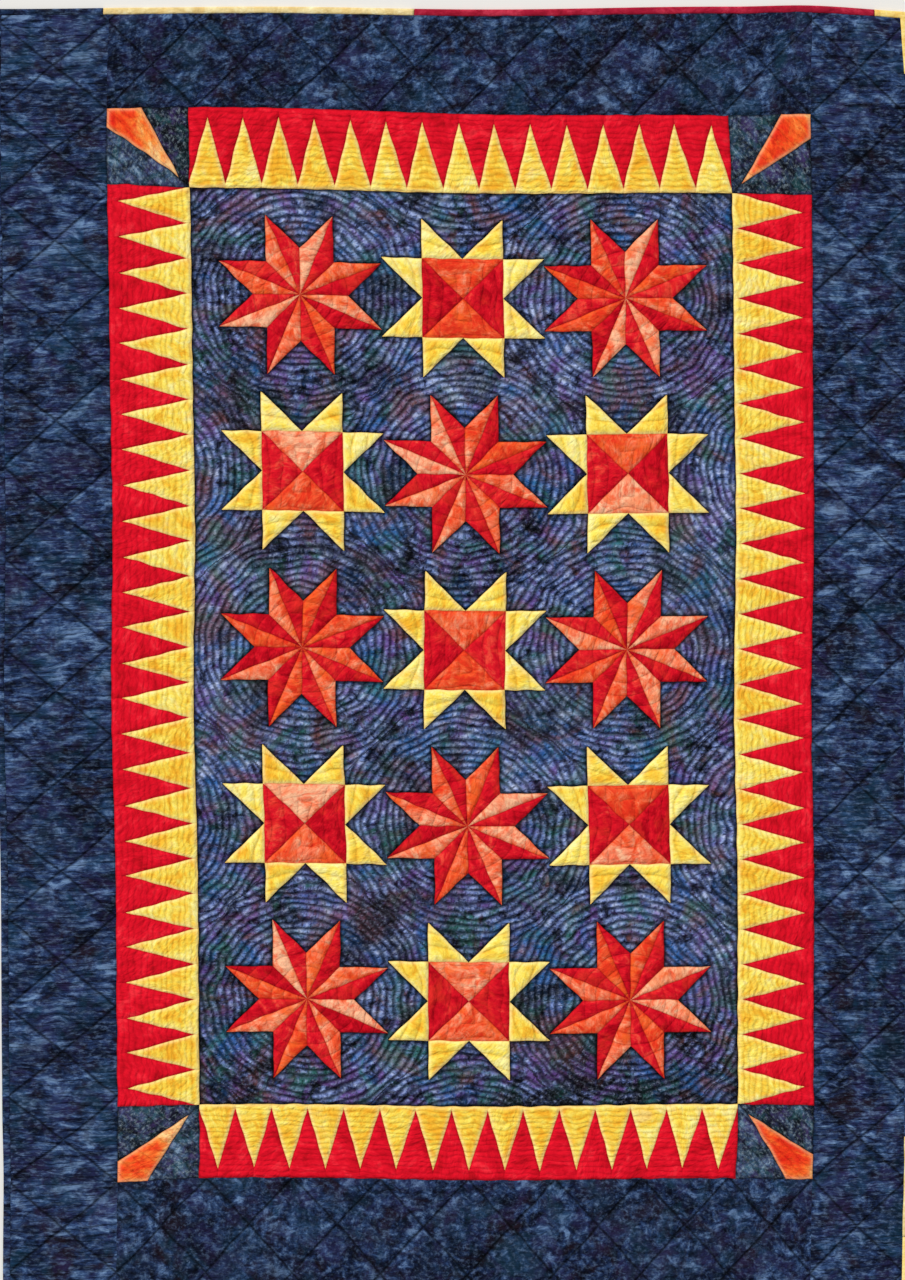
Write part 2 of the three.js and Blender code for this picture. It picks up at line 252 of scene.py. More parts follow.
def puckers(u, v):
    # the dense quilting of the middle draws the border up in fine wrinkles across it
    onSide = np.minimum(u, quiltWidth - u) < np.minimum(v, quiltLength - v)
    along, across = np.where(onSide, v, u), np.where(onSide, u, v)
    wavy = along + pucker["sway"] * ripple(u, v, pucker["swayLength"], 21)
    shift = pucker["shift"] * ripple(u, v, pucker["shiftLength"], 22)
    fine = np.sin(2 * math.pi * wavy / pucker["width"] + shift)
    patches = ripple(across * pucker["patchAcross"], along * pucker["patchAlong"], pucker["patch"], 23)
    patchy = np.clip(pucker["patchMiddle"] + pucker["patchRange"] * patches, 0, 1)
    return pucker["size"] * fine * patchy * np.clip(edgeDistance(u, v) / plan["outerBorder"], pucker["least"], 1)


quiltings = {
    "ground": arcQuilting, "star": starQuilting, "spike": spikeQuilting,
    "corner": cornerQuilting, "outer": hatchQuilting,
}


def heightOf(kind, u, v, seamGap):
    cloth = cloths[kind]
    stitches, stitchGap = quiltings[kind](u, v)
    bound = np.maximum(edgeDistance(u, v) - bindingWidth - underFold["bound"], 0)
    loft = 1 - np.exp(-softLeast(seamGap, stitchGap + cloth["shallow"], bound) / cloth["reach"])
    height = batting["stitched"] + swell(u, v) + cloth["rise"] * loft
    height += batting["lump"] * ripple(u, v, batting["lumpLength"], 31) * loft
    if kind == "outer":
        height += puckers(u, v) * loft
    pressed = edgeDistance(u, v) < bindingWidth + underFold["pressed"]
    return np.where(pressed, batting["pressed"], height), stitches


# Patches

def trimmedGrid(corners, step):
    # a grid over the corners' bounds, trimmed along each slanted side; the corners run counterclockwise
    points = [Vector((*corner, 0)) for corner in corners]
    low = Vector([min(point[axis] for point in points) for axis in range(3)])
    size = Vector([max(point[axis] for point in points) for axis in range(3)]) - low
    patch = bmesh.new()
    bmesh.ops.create_grid(
        patch, size=0.5, x_segments=max(1, round(size.x / step)), y_segments=max(1, round(size.y / step)),
        matrix=Matrix.Translation(low + size / 2) @ Matrix.Diagonal((size.x, size.y, 1, 1)))
    for here, there in zip(points, points[1:] + points[:1]):
        side = there - here
        if min(abs(side.x), abs(side.y)) > 1e-6:
            bmesh.ops.bisect_plane(
                patch, geom=patch.verts[:] + patch.edges[:] + patch.faces[:], dist=1e-6,
                plane_co=here, plane_no=Vector((side.y, -side.x, 0)), clear_outer=True)
    return patch


flushSeams = {  # how much further away a flush seam counts, and where it does so
    "ground": 0.0052, "outer": 0.012, "outerFade": 0.008, "spike": 0.003, "spikeSide": 0.02,
}


def isFlush(here, there):
    # a seam between two patches of the field's ground hardly shows
    foot = firstCentre - plan["block"] / 2
    runs = [  # axis, first seam and pitch: beside the blocks, below and above each row, and halfway up
        (0, foot[0], plan["block"]), (1, foot[1], blockPitch[1]), (1, foot[1] + plan["block"], blockPitch[1]),
        (1, halfwayUp, 9),
    ]
    for axis, start, pitch in runs:
        steps = (here[axis] - start) / pitch
        level = abs(here[axis] - there[axis]) < 1e-5
        if level and abs(steps - round(steps)) * pitch < 1e-4 and -0.5 < steps < 5.5:
            return True
    return False


def seamDistance(corners, flat, kind):
    # distance to the patch's nearest seam; a seam that hardly shows counts as further away
    gaps = []
    beyond = np.maximum(seamsV[1] - flat[:, 1], flat[:, 1] - seamsV[4])  # past the inner corners, navy meets navy
    for here, there in zip(corners, corners[1:] + corners[:1]):
        flush = 0.0
        if kind == "ground" and isFlush(here, there):
            flush = flushSeams["ground"]
        elif kind == "outer":
            flush = flushSeams["outer"] * np.clip(beyond / flushSeams["outerFade"], 0, 1)
        elif kind == "spike" and math.dist(here, there) < flushSeams["spikeSide"]:  # between two of one colour
            flush = flushSeams["spike"]
        here, side = np.array(here), np.array(there) - np.array(here)
        side = side / np.hypot(*side)
        gaps.append(side[0] * (flat[:, 1] - here[1]) - side[1] * (flat[:, 0] - here[0]) + flush)
    return softLeast(*gaps) - tiny


def giveValues(mesh, name, values):
    mesh.attributes.new(name, "FLOAT", "POINT").data.foreach_set("value", np.asarray(values, dtype=np.float32))


def readFlat(mesh):
    places = np.empty(len(mesh.vertices) * 3, dtype=np.float32)
    mesh.vertices.foreach_get("co", places)
    return places.reshape(-1, 3).astype(float)


dyeWaves = {  # how far the tone of the dark cloths goes up and down, over what length, and the seed of the waves
    "ground": [(0.24, 0.380, 41), (0.20, 0.110, 44)],
    "outer": [(0.26, 0.380, 45), (0.34, 0.140, 46)],
}
groundShade = {"all": 0.04, "foot": 0.40, "footReach": 0.140}  # the field's ground is darkest near the bottom


def dyeDrift(kind, u, v):
    drift = sum(size * ripple(u, v, length, seed) for size, length, seed in dyeWaves[kind])
    if kind == "ground":
        foot = np.exp(-((v - seamsV[2]) / groundShade["footReach"]) ** 2)
        drift = drift - groundShade["all"] - groundShade["foot"] * foot
    return drift


def cutOut(patch, kind, finish):
    # one flat patch with its own place on its printed cloth; finish is the number of its material
    grid = trimmedGrid(patch["corners"], cloths[kind]["step"])
    mesh = bpy.data.meshes.new("patch")
    grid.to_mesh(mesh)
    grid.free()
    flat = readFlat(mesh)
    giveValues(mesh, "seamGap", seamDistance(patch["corners"], flat, kind))
    away = np.hypot(*(flat[:, :2] - np.array(patch["corners"][0])).T)
    away = away / away.max()
    tone = patch["tone"] + patch["fade"] * away + patch["bow"] * np.sin(math.pi * away)
    if kind in dyeWaves:
        tone = tone + dyeDrift(kind, flat[:, 0], flat[:, 1])
    giveValues(mesh, "tone", tone)
    across, along = math.cos(patch["turn"]), math.sin(patch["turn"])
    threads = flat[:, :2] @ np.array([[across, along], [-along, across]]) + np.array(patch["shift"])
    loopPoints = np.empty(len(mesh.loops), dtype=np.int32)
    mesh.loops.foreach_get("vertex_index", loopPoints)
    mesh.uv_layers.new(name="grain").data.foreach_set("uv", threads[loopPoints].astype(np.float32).ravel())
    mesh.polygons.foreach_set("material_index", np.full(len(mesh.polygons), finish, dtype=np.int32))
    return mesh


def layDown(mesh, flat, height):
    # moves the mesh from the plan to where the cloth lies
    x, y = lieAt(flat[:, 0], flat[:, 1])
    mesh.vertices.foreach_set("co", np.stack([x, y, height], 1).astype(np.float32).ravel())
    mesh.polygons.foreach_set("use_smooth", np.ones(len(mesh.polygons), dtype=bool))
    mesh.update()


def addPiece(name, mesh, materials):
    piece = bpy.data.objects.new(name, mesh)
    bpy.context.collection.objects.link(piece)
    for material in materials:
        mesh.materials.append(material)
    return piece


def sewTogether(name, kind, patches, finishes):
    # joins the patches into one piece, each patch its own island
    joined = bmesh.new()
    for patch in patches:
        loose = cutOut(patch, kind, finishes.index(patch["finish"]))
        joined.from_mesh(loose)
        bpy.data.meshes.remove(loose)
    mesh = bpy.data.meshes.new(name)
    joined.to_mesh(mesh)
    joined.free()
    flat = readFlat(mesh)
    seamGap = np.empty(len(flat), dtype=np.float32)
    mesh.attributes["seamGap"].data.foreach_get("value", seamGap)
    height, stitches = heightOf(kind, flat[:, 0], flat[:, 1], seamGap)
    lines = np.stack(stitches, 1).astype(np.float32).ravel()
    mesh.attributes.new("stitches", "FLOAT_VECTOR", "POINT").data.foreach_set("vector", lines)
    layDown(mesh, flat, height)
    return addPiece(name, mesh, [finishMaterials[finish] for finish in finishes])


def polygonArea(corners):
    pairs = zip(corners, corners[1:] + corners[:1])
    return abs(sum(here[0] * there[1] - there[0] * here[1] for here, there in pairs)) / 2


def cutPatch(corners, finish, tone=None, turn=None, fade=0.0, bow=0.0, shift=None):
    # fade changes the tone away from the first corner, bow changes it halfway
    return {
        "corners": [tuple(map(float, corner)) for corner in corners], "finish": finish, "fade": fade, "bow": bow,
        "tone": dice.random() if tone is None else tone,
        "turn": dice.uniform(0, 2 * math.pi) if turn is None else turn,
        "shift": (dice.uniform(-3, 3), dice.uniform(-3, 3)) if shift is None else shift,
    }


def groundPatch(corners):
    # the ground's patches match up into one run of cloth
    return cutPatch(corners, "ground", tone=0.5, turn=0, shift=(0, 0))


def rectangle(left, right, bottom, top):
    return [(left, bottom), (right, bottom), (right, top), (left, top)]


# Spikes stand on the field seam and point outwards; along and out are plan directions

spikes = {  # fade is how much darker a gold spike gets towards its tip; notchSway is a share of the sway
    "tipGap": 0.0140, "notch": 0.0062, "sway": 0.0011, "notchSway": 0.4, "fade": -0.45,
}


def spikeStrip(start, along, out, count):
    start, along, out = np.array(start), np.array(along), np.array(out)
    pitch, depth, drop = plan["spikePitch"], plan["spikeBorder"], spikes["notchSway"]
    counterclockwise = along[0] * out[1] - along[1] * out[0] > 0

    def at(run, rise):
        return tuple(start + along * run + out * rise)

    def turned(corners):
        return corners if counterclockwise else corners[::-1]

    tips = [((i + 0.5) * pitch + dice.uniform(-1, 1) * spikes["sway"],
             depth - spikes["tipGap"] + dice.uniform(-1, 1) * spikes["sway"]) for i in range(count)]
    notches = [(i * pitch, spikes["notch"] + dice.uniform(-drop, drop) * spikes["sway"]) for i in range(count + 1)]
    patches = []
    for i, tip in enumerate(tips):
        corners = [at(i * pitch, 0), at((i + 1) * pitch, 0), at(*notches[i + 1]), at(*tip), at(*notches[i])]
        patches.append(cutPatch(turned(corners), "gold", fade=spikes["fade"]))
    for i in range(1, count):
        left, right = tips[i - 1], tips[i]
        corners = [at(*notches[i]), at(*right), at(right[0], depth), at(left[0], depth), at(*left)]
        patches.append(cutPatch(turned(corners), "crimson"))
    ends = [
        [at(*notches[0]), at(*tips[0]), at(tips[0][0], depth), at(0, depth)],
        [at(*notches[-1]), at(count * pitch, depth), at(tips[-1][0], depth), at(*tips[-1])],
    ]
    return patches + [cutPatch(turned(end), "crimson") for end in ends]


# Corner blocks: a kite from the outer corner to near the inner one, on two dark patches

cornerCuts = [  # corner, directions in from it, the kite's widths, its tone with fade and bow, patch tones
    {"corner": (1, 1), "inward": (1, 1), "widths": (0.36, 0.27),
     "kite": (0.16, 0.92, 0.0), "tones": (0.62, 0.40)},
    {"corner": (4, 1), "inward": (-1, 1), "widths": (0.35, 0.33),
     "kite": (0.84, -0.22, -0.55), "tones": (0.66, 0.40)},
    {"corner": (1, 4), "inward": (1, -1), "widths": (0.42, 0.25),
     "kite": (0.10, 0.98, 0.0), "tones": (0.12, 0.66)},
    {"corner": (4, 4), "inward": (-1, -1), "widths": (0.36, 0.30),
     "kite": (0.62, 0.0, -0.42), "tones": (0.50, 0.40)},
]
kiteTip = 0.87


def cornerPatches(cut):
    inward, side = cut["inward"], plan["spikeBorder"]
    outerCorner = np.array([seamsU[cut["corner"][0]], seamsV[cut["corner"][1]]])
    counterclockwise = inward[0] * inward[1] > 0

    def at(across, up):
        return tuple(outerCorner + np.array([inward[0] * across, inward[1] * up]) * side)

    def patch(corners, finish, tone, fade=0.0, bow=0.0):
        corners = corners if counterclockwise else corners[:1] + corners[:0:-1]
        return cutPatch(corners, finish, tone=tone, fade=fade, bow=bow)

    (wide, narrow), tip = cut["widths"], kiteTip
    return [
        patch([at(0, 0), at(wide, 0), at(tip, tip), at(0, narrow)], "kite", *cut["kite"]),
        patch([at(wide, 0), at(1, 0), at(1, 1), at(tip, tip)], "dusk", cut["tones"][0]),
        patch([at(0, narrow), at(tip, tip), at(1, 1), at(0, 1)], "dusk", cut["tones"][1]),
    ]


# Blocks of the field: split eight-pointed stars and sawtooth stars take turns

def splitStar(centre):
    half = plan["block"] / 2
    side = 2 * half / (2 + math.sqrt(2))
    reach = half / math.cos(math.radians(22.5))

    def at(degrees, far):
        return (centre[0] + far * math.cos(math.radians(degrees)), centre[1] + far * math.sin(math.radians(degrees)))

    def square(x, y):
        return (centre[0] + x, centre[1] + y)

    bright, dark = [], []
    for point in range(8):
        turn = 45 * point
        tip = at(turn + 22.5, reach)
        bright.append(cutPatch([centre, at(turn, side), tip], "scarlet"))
        bright.append(cutPatch([centre, tip, at(turn + 45, side)], "sunset"))
    low = side / math.sqrt(2)
    for x, y in ((1, 1), (-1, 1), (-1, -1), (1, -1)):
        corners = rectangle(*sorted((x * low, x * half)), *sorted((y * low, y * half)))
        dark.append(groundPatch([square(*corner) for corner in corners]))
    for turn in (0, 90, 180, 270):
        dark.append(groundPatch([at(turn, side), at(turn - 22.5, reach), at(turn + 22.5, reach)]))
    return bright, dark


def sawtoothStar(centre):
    unit = plan["block"] / 4
    bright, dark = [], []

    def at(turn, x, y):
        for _ in range(turn):
            x, y = -y, x
        return (centre[0] + x * unit, centre[1] + y * unit)

    for turn in range(4):
        bright.append(cutPatch([at(turn, 0, 1), at(turn, 1, 1), at(turn, 1, 2)], "gold"))
        bright.append(cutPatch([at(turn, -1, 2), at(turn, -1, 1), at(turn, 0, 1)], "gold"))
        middle = [at(turn, 0, 0), at(turn, 1, 1), at(turn, -1, 1)]
        bright.append(cutPatch(middle, "scarlet" if turn % 2 else "sunset"))
        dark.append(groundPatch([at(turn, 0, 1), at(turn, 1, 2), at(turn, -1, 2)]))
        dark.append(groundPatch([at(turn, 1, 1), at(turn, 2, 1), at(turn, 2, 2), at(turn, 1, 2)]))
    return bright, dark


# Finishes

def dye(red, green, blue):
    # a screen colour as the linear colour that a shader takes
    return tuple(part / 12.92 if part <= 0.04045 else ((part + 0.055) / 1.055) ** 2.4
                 for part in (red / 255, green / 255, blue / 255)) + (1,)


def setSockets(tree, node, values):
    for socket, value in values.items():
        if isinstance(value, bpy.types.NodeSocket):
            tree.links.new(value, node.inputs[socket])
        else:
            node.inputs[socket].default_value = value


def put(tree, kind, values=None, **settings):
    node = tree.nodes.new("ShaderNode" + kind)
    for name, value in settings.items():
        setattr(node, name, value)
    setSockets(tree, node, values or {})
    return node


def calc(tree, operation, *values, clamp=False):
    return put(tree, "Math", dict(enumerate(values)), operation=operation, use_clamp=clamp).outputs[0]


def blend(tree, factor, low, high, mode="MIX"):
    node = put(tree, "Mix", {0: factor, 6: low, 7: high}, data_type="RGBA", blend_type=mode)
    return node.outputs[2]


def effectGroup(name, inputs, outputs):
    group = bpy.data.node_groups.new(name, "ShaderNodeTree")
    for socket, kind, value in inputs:
        made = group.interface.new_socket(name=socket, in_out="INPUT", socket_type="NodeSocket" + kind)
        if value is not None:
            made.default_value = value
    for socket, kind in outputs:
        group.interface.new_socket(name=socket, in_out="OUTPUT", socket_type="NodeSocket" + kind)
    return group, group.nodes.new("NodeGroupInput").outputs, group.nodes.new("NodeGroupOutput").inputs


def useGroup(tree, group, values):
    node = tree.nodes.new("ShaderNodeGroup")
    node.node_tree = group
    setSockets(tree, node, values)
    return node.outputs


def drawnOut(group, given):
    # the place squeezed one way, so that a pattern on it is drawn out
    squeeze = put(group, "CombineXYZ", {0: calc(group, "DIVIDE", 1.0, given["Draw"]), 1: 1.0, 2: 1.0}).outputs[0]
    return put(group, "VectorMath", {0: given["Place"], 1: squeeze}, operation="MULTIPLY").outputs[0]


yarn = {"scale": 900, "detail": 1}


def makeWeave():
    # over and under threads of a plain weave, with uneven yarn
    group, given, made = effectGroup(
        "plainWeave", [("Place", "Vector", None), ("Thread", "Float", 0.0005)], [("Height", "Float")])
    place = put(group, "SeparateXYZ", {0: given["Place"]}).outputs
    pace = calc(group, "DIVIDE", math.pi, given["Thread"])
    across = calc(group, "SINE", calc(group, "MULTIPLY", place[0], pace))
    along = calc(group, "SINE", calc(group, "MULTIPLY", place[1], pace))
    uneven = put(group, "TexNoise", {
        "Vector": given["Place"], "Scale": yarn["scale"], "Detail": yarn["detail"]}).outputs[0]
    group.links.new(calc(group, "ADD", calc(group, "MULTIPLY", across, along), uneven), made["Height"])
    return group


clouds = {"detail": 7, "roughness": 0.68}
flecks = {  # finer than the clouds, cut off sharply, and thickest where the clouds are light
    "finer": 3.4, "detail": 5, "roughness": 0.66, "swirl": 0.2, "from": 0.47, "to": 0.67,
    "byCloud": 0.85, "least": 0.15,
}


def makeMottle():
    # hand-dyed cloth: soft clouds, drawn out one way, and small sharp flecks
    group, given, made = effectGroup(
        "dyeMottle",
        [("Place", "Vector", None), ("Size", "Float", 0.04), ("Draw", "Float", 1.0), ("Swirl", "Float", 0.6),
         ("Spread", "Float", 0.16)],
        [("Cloud", "Float"), ("Fleck", "Float")])
    place = drawnOut(group, given)
    pace = calc(group, "DIVIDE", 1.0, given["Size"])
    cloud = put(group, "TexNoise", {
        "Vector": place, "Scale": pace, "Detail": clouds["detail"], "Roughness": clouds["roughness"],
        "Distortion": given["Swirl"]}).outputs[0]
    fleck = put(group, "TexNoise", {
        "Vector": place, "Scale": calc(group, "MULTIPLY", pace, flecks["finer"]), "Detail": flecks["detail"],
        "Roughness": flecks["roughness"], "Distortion": flecks["swirl"]}).outputs[0]
    low, high = calc(group, "SUBTRACT", 0.5, given["Spread"]), calc(group, "ADD", 0.5, given["Spread"])
    cloud = put(group, "MapRange", {0: cloud, 1: low, 2: high, 3: 0.0, 4: 1.0}).outputs[0]
    group.links.new(cloud, made["Cloud"])
    sharp = put(group, "MapRange", {0: fleck, 1: flecks["from"], 2: flecks["to"], 3: 0.0, 4: 1.0},
                interpolation_type="SMOOTHSTEP")
    cluster = calc(group, "MULTIPLY_ADD", cloud, flecks["byCloud"], flecks["least"])
    group.links.new(calc(group, "MULTIPLY", sharp.outputs[0], cluster), made["Fleck"])
    return group


secondDye = {"detail": 5, "roughness": 0.6, "swirl": 0.8, "from": 0.48, "to": 0.66}


def makeDrift():
    # where a second dye shows through, in broad uneven pools
    group, given, made = effectGroup(
        "dyeDrift", [("Place", "Vector", None), ("Size", "Float", 0.08), ("Seed", "Float", 0.0)], [("Mask", "Float")])
    away = put(group, "CombineXYZ", {0: given["Seed"], 1: given["Seed"], 2: 0.0}).outputs[0]
    place = put(group, "VectorMath", {0: given["Place"], 1: away}, operation="ADD").outputs[0]
    pools = put(group, "TexNoise", {
        "Vector": place, "Scale": calc(group, "DIVIDE", 1.0, given["Size"]), "Detail": secondDye["detail"],
        "Roughness": secondDye["roughness"], "Distortion": secondDye["swirl"]}).outputs[0]
    mask = put(group, "MapRange", {0: pools, 1: secondDye["from"], 2: secondDye["to"], 3: 0.0, 4: 1.0},
               interpolation_type="SMOOTHSTEP")
    group.links.new(mask.outputs[0], made["Mask"])
    return group


gathers = {"detail": 2.5, "roughness": 0.5, "swirl": 0.3, "from": 0.3, "to": 0.7}


def makeWrinkle():
    # fine wrinkles drawn out one way, where dense quilting gathers the cloth
    group, given, made = effectGroup(
        "quiltWrinkle", [("Place", "Vector", None), ("Width", "Float", 0.007), ("Draw", "Float", 4.0)],
        [("Height", "Float")])
    place = drawnOut(group, given)
    folds = put(group, "TexNoise", {
        "Vector": place, "Scale": calc(group, "DIVIDE", 1.0, given["Width"]), "Detail": gathers["detail"],
        "Roughness": gathers["roughness"], "Distortion": gathers["swirl"]}).outputs[0]
    height = put(group, "MapRange", {0: folds, 1: gathers["from"], 2: gathers["to"], 3: 0.0, 4: 1.0}).outputs[0]
    group.links.new(height, made["Height"])
    return group


def makeLineStitches():
    # distance to straight rows of stitching, given as counts of lines in two directions and their pitch
    group, given, made = effectGroup("lineStitches", [("Lines", "Vector", None)], [("Gap", "Float")])
    counts = put(group, "SeparateXYZ", {0: given["Lines"]}).outputs
    near = calc(group, "MINIMUM", calc(group, "PINGPONG", counts[0], 0.5), calc(group, "PINGPONG", counts[1], 0.5))
    group.links.new(calc(group, "MULTIPLY", near, counts[2]), made["Gap"])
    return group


def makeBrickStitches():
    # distance to the rings round a star and the short lines between them
    group, given, made = effectGroup(
        "brickStitches", [("Lines", "Vector", None), ("Pitch", "Float", 0.01), ("Brick", "Float", 0.012)],
        [("Gap", "Float")])
    offset = put(group, "SeparateXYZ", {0: given["Lines"]}).outputs
    far = put(group, "VectorMath", {0: given["Lines"]}, operation="LENGTH").outputs["Value"]
    ring = calc(group, "DIVIDE", far, given["Pitch"])
    row = calc(group, "FLOOR", ring)
    run = calc(group, "MULTIPLY", calc(group, "ARCTAN2", offset[1], offset[0]), calc(group, "ADD", row, 0.5))
    run = calc(group, "DIVIDE", calc(group, "MULTIPLY", run, given["Pitch"]), given["Brick"])
    stagger = calc(group, "MULTIPLY", calc(group, "SINE", calc(group, "MULTIPLY", row, arcs["staggerPace"])),
                   arcs["stagger"])
    brick = calc(group, "ADD", calc(group, "ADD", run, calc(group, "MULTIPLY", row, 0.5)), stagger)
    ringGap = calc(group, "MULTIPLY", calc(group, "PINGPONG", ring, 0.5), given["Pitch"])
    brickGap = calc(group, "MULTIPLY", calc(group, "PINGPONG", brick, 0.5), given["Brick"])
    brickGap = calc(group, "ADD", brickGap, arcs["faint"])
    group.links.new(calc(group, "MINIMUM", ringGap, brickGap), made["Gap"])
    return group


def makeGroove():
    # the painted shade down in a seam or a stitched line: how dark it gets there, and how deep the groove is
    group, given, made = effectGroup(
        "grooveShade", [("Gap", "Float", 1.0), ("Width", "Float", 0.001), ("Depth", "Float", 0.5)],
        [("Shade", "Float"), ("Height", "Float")])
    share = calc(group, "DIVIDE", given["Gap"], given["Width"])
    fall = calc(group, "EXPONENT", calc(group, "MULTIPLY", calc(group, "MULTIPLY", share, share), -1.0))
    group.links.new(calc(group, "SUBTRACT", 1.0, calc(group, "MULTIPLY", fall, given["Depth"])), made["Shade"])
    group.links.new(calc(group, "SUBTRACT", 1.0, fall), made["Height"])
    return group


effects = {
    "weave": makeWeave(), "mottle": makeMottle(), "drift": makeDrift(), "wrinkle": makeWrinkle(),
    "lines": makeLineStitches(), "bricks": makeBrickStitches(), "groove": makeGroove(),
}

# ramp is the dye from dark to light and spread its contrast, fleck and pools are its other colours and their shares,
# and the pools' sizes. toneReach is how far a patch's tone moves it along the ramp. seam and stitch are the width
# and darkness of the painted shade down in a ditch and the depth of its groove; ditch is how much that painted
# shade darkens red, green and blue, rim is the paler edge of a patch, and wrinkle is the width, length and depth
# of the folds.
borderCloth = {
    "swirl": 0.5, "spread": 0.15, "toneReach": 0.40, "seam": (0.0016, 0.55), "stitch": (0.0017, 0.70, 0.0014),
}
finishes = {
    "navy": {
        "ramp": [(0.0, dye(3, 6, 18)), (0.30, dye(13, 22, 46)), (0.54, dye(29, 45, 81)), (0.76, dye(54, 78, 120)),
                 (1.0, dye(104, 132, 170))],
        "fleck": (dye(122, 148, 186), 0.50), "size": 0.018, "draw": 2.1,
        "pools": [(dye(34, 20, 28), 0.60, 0.040), (dye(26, 66, 92), 0.45, 0.060), (dye(44, 38, 84), 0.45, 0.050),
                  (dye(8, 13, 28), 0.45, 0.110)],
        "wrinkle": (0.0064, 6.5, 0.0034), **borderCloth,
    },
    # the end strips' navy is a darker copy of the side strips' navy: painted shade for the dimmer top and bottom of
    # the quilt
    "navyEndsShaded": {
        "ramp": [(0.0, dye(3, 6, 18)), (0.30, dye(10, 19, 42)), (0.54, dye(25, 41, 74)), (0.76, dye(47, 70, 110)),
                 (1.0, dye(96, 124, 164))],
        "fleck": (dye(112, 136, 172), 0.46), "size": 0.019, "draw": 1.2,
        "pools": [(dye(34, 20, 28), 0.60, 0.040), (dye(26, 60, 82), 0.45, 0.060), (dye(42, 36, 78), 0.45, 0.050),
                  (dye(8, 13, 26), 0.45, 0.110)],
        "wrinkle": (0.0064, 1.7, 0.0024), **borderCloth,
    },
    "ground": {
        "ramp": [(0.0, dye(8, 10, 20)), (0.25, dye(44, 52, 86)), (0.5, dye(98, 116, 172)), (0.75, dye(144, 164, 216)),
                 (1.0, dye(186, 200, 238))],
        "fleck": (dye(192, 204, 238), 0.42), "size": 0.015, "draw": 1.2, "swirl": 0.5, "spread": 0.15,
        "toneReach": 0.55,
        "pools": [(dye(120, 84, 164), 0.72, 0.050), (dye(44, 106, 178), 0.78, 0.085), (dye(124, 78, 76), 0.74, 0.066),
                  (dye(56, 122, 114), 0.65, 0.055), (dye(10, 11, 20), 0.80, 0.085)],
        # wide, dark seam and stitch values: painted shadow beside the bright patches that stand higher, and painted
        # shade between the puffed bricks
        "seam": (0.0040, 0.93), "stitch": (0.0026, 0.72, 0.0024),
        "wrinkle": (0.0052, 1.3, 0.0016),
    },
    "dusk": {
        "ramp": [(0.0, dye(6, 8, 15)), (0.3, dye(19, 25, 40)), (0.55, dye(42, 56, 82)), (0.8, dye(70, 94, 126)),
                 (1.0, dye(122, 146, 172))],
        "fleck": (dye(160, 178, 188), 0.60), "size": 0.017, "draw": 1.1, "swirl": 0.4, "spread": 0.18,
        "toneReach": 0.80,
        "pools": [(dye(78, 60, 118), 0.50, 0.026), (dye(44, 96, 100), 0.40, 0.028), (dye(7, 8, 13), 0.75, 0.040)],
        "seam": (0.0020, 0.70), "stitch": (0.0016, 0.35, 0.0010),
        "wrinkle": (0.0060, 1.4, 0.0013),
    },
    "gold": {
        "ramp": [(0.0, dye(243, 178, 46)), (0.3, dye(251, 214, 74)), (0.6, dye(255, 234, 106)),
                 (1.0, dye(255, 246, 162))],
        "fleck": (dye(208, 148, 42), 0.40), "size": 0.022, "draw": 1.2, "swirl": 0.5, "spread": 0.16,
        "toneReach": 0.45, "pools": [(dye(250, 184, 50), 0.50, 0.040)],
        "seam": (0.0011, 0.28), "stitch": (0.0017, 0.20, 0.0004), "ditch": (0.5, 1.0, 1.8),
        "rim": (dye(255, 244, 178), 0.60, 0.0034), "wrinkle": (0.0060, 1.8, 0.0010),
    },
    "crimson": {
        "ramp": [(0.0, dye(186, 10, 26)), (0.35, dye(218, 14, 36)), (0.7, dye(234, 20, 43)), (1.0, dye(246, 46, 60))],
        "fleck": (dye(184, 4, 26), 0.35), "size": 0.022, "draw": 1.3, "swirl": 0.5, "spread": 0.16,
        "toneReach": 0.20, "pools": [(dye(196, 4, 30), 0.30, 0.050)],
        "seam": (0.0015, 0.42), "stitch": (0.0016, 0.14, 0.0004), "ditch": (0.8, 1.0, 1.0),
        "wrinkle": (0.0058, 2.0, 0.0009),
    },
    "scarlet": {
        "ramp": [(0.0, dye(168, 2, 20)), (0.35, dye(204, 10, 32)), (0.7, dye(224, 26, 40)), (1.0, dye(238, 74, 58))],
        "fleck": (dye(150, 6, 20), 0.35), "size": 0.018, "draw": 1.2, "swirl": 0.7, "spread": 0.16,
        "toneReach": 0.5, "pools": [(dye(230, 56, 38), 0.45, 0.040)],
        "seam": (0.0011, 0.45), "stitch": (0.0013, 0.16, 0.0005), "ditch": (0.7, 1.0, 1.0),
        "wrinkle": (0.0060, 1.8, 0.0010),
    },
    "sunset": {
        "ramp": [(0.0, dye(226, 52, 28)), (0.3, dye(238, 88, 48)), (0.6, dye(245, 128, 92)),
                 (1.0, dye(252, 190, 150))],
        "fleck": (dye(212, 56, 34), 0.40), "size": 0.018, "draw": 1.2, "swirl": 0.8, "spread": 0.17,
        "toneReach": 0.80, "pools": [(dye(246, 108, 40), 0.55, 0.040)],
        "seam": (0.0011, 0.40), "stitch": (0.0013, 0.14, 0.0005), "ditch": (0.6, 1.0, 1.2),
        "wrinkle": (0.0060, 1.8, 0.0010),
    },
    "kite": {
        "ramp": [(0.0, dye(224, 36, 20)), (0.25, dye(244, 68, 28)), (0.5, dye(252, 112, 44)),
                 (0.72, dye(255, 160, 76)), (1.0, dye(255, 220, 150))],
        "fleck": (dye(170, 26, 20), 0.70), "size": 0.020, "draw": 2.0, "swirl": 0.4, "spread": 0.26,
        "toneReach": 1.0, "pools": [(dye(226, 40, 28), 0.55, 0.022)],
        "seam": (0.0012, 0.50), "stitch": (0.0014, 0.16, 0.0006), "ditch": (0.6, 1.0, 1.2),
        "rim": (dye(255, 206, 150), 0.55, 0.0034), "wrinkle": (0.0060, 1.8, 0.0011),
    },
}
trimCloth = {"size": 0.020, "swirl": 0.4, "spread": 0.16, "wrinkle": (0.0050, 1.5, 0.0005)}
